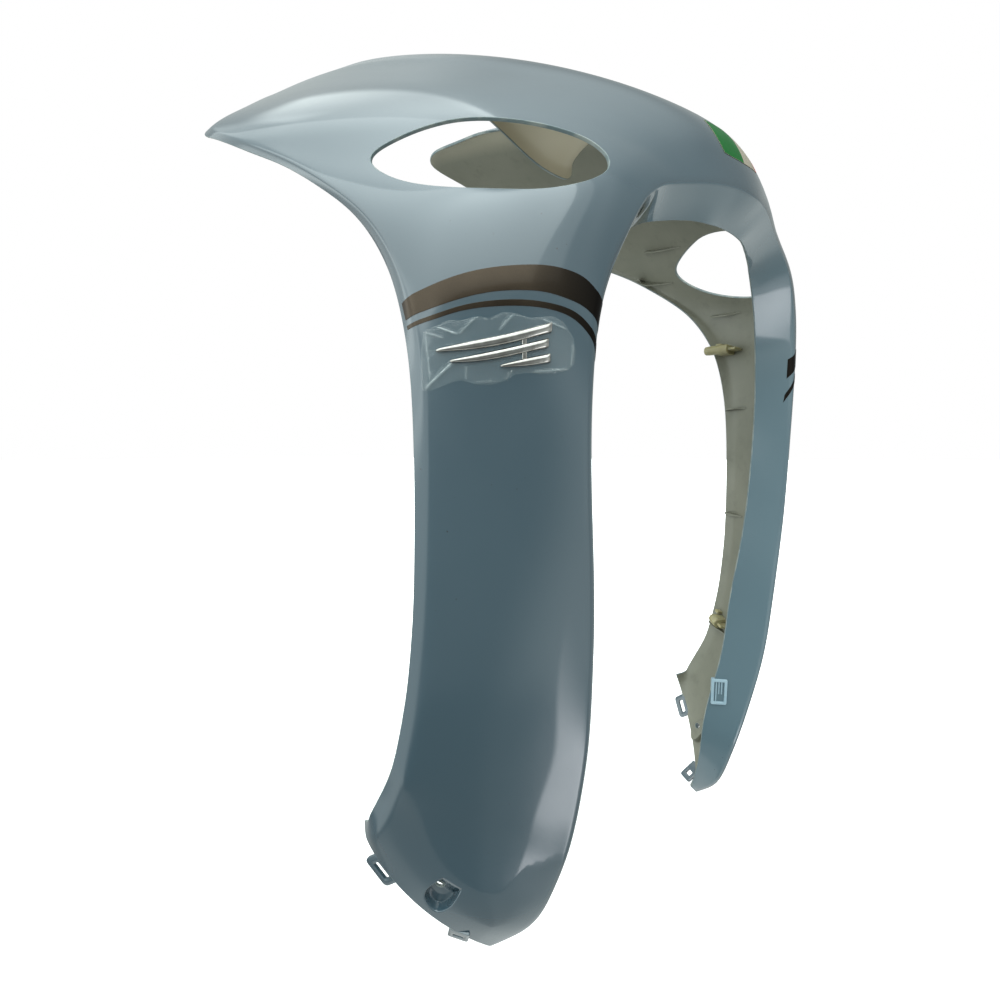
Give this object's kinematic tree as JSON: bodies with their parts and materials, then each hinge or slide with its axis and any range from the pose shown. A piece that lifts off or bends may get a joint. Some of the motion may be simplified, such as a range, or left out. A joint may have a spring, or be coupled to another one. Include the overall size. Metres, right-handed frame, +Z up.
{
  "type": "scooter front cover",
  "caption": "Moulded front cover of a motor scooter: long legs below a brow, shoulders that sweep back round the steering column, and almond indicator openings.",
  "frame": {"origin": "middle plane of the cover, at the middle of its depth, at the level of its lowest point", "axes": "+Z up, -Y to the front of the scooter, +X to the rider's left"},
  "size_m": [0.4358, 0.3784, 0.6129],
  "materials": {
    "paint": "gloss paint over moulded plastic, light overspray inside",
    "stripe": "dark brown gloss sticker",
    "flag": "green, cream and red sticker",
    "chrome": "chromed plastic",
    "film": "clear crumpled plastic film"
  },
  "bodies": {
    "root": {"front_cover_shell": "paint", "stripe_decals_right": "stripe", "stripe_decals_left": "stripe", "flag_decal": "flag", "emblem_right": "chrome", "emblem_film_right": "film"}
  },
  "joints": []
}
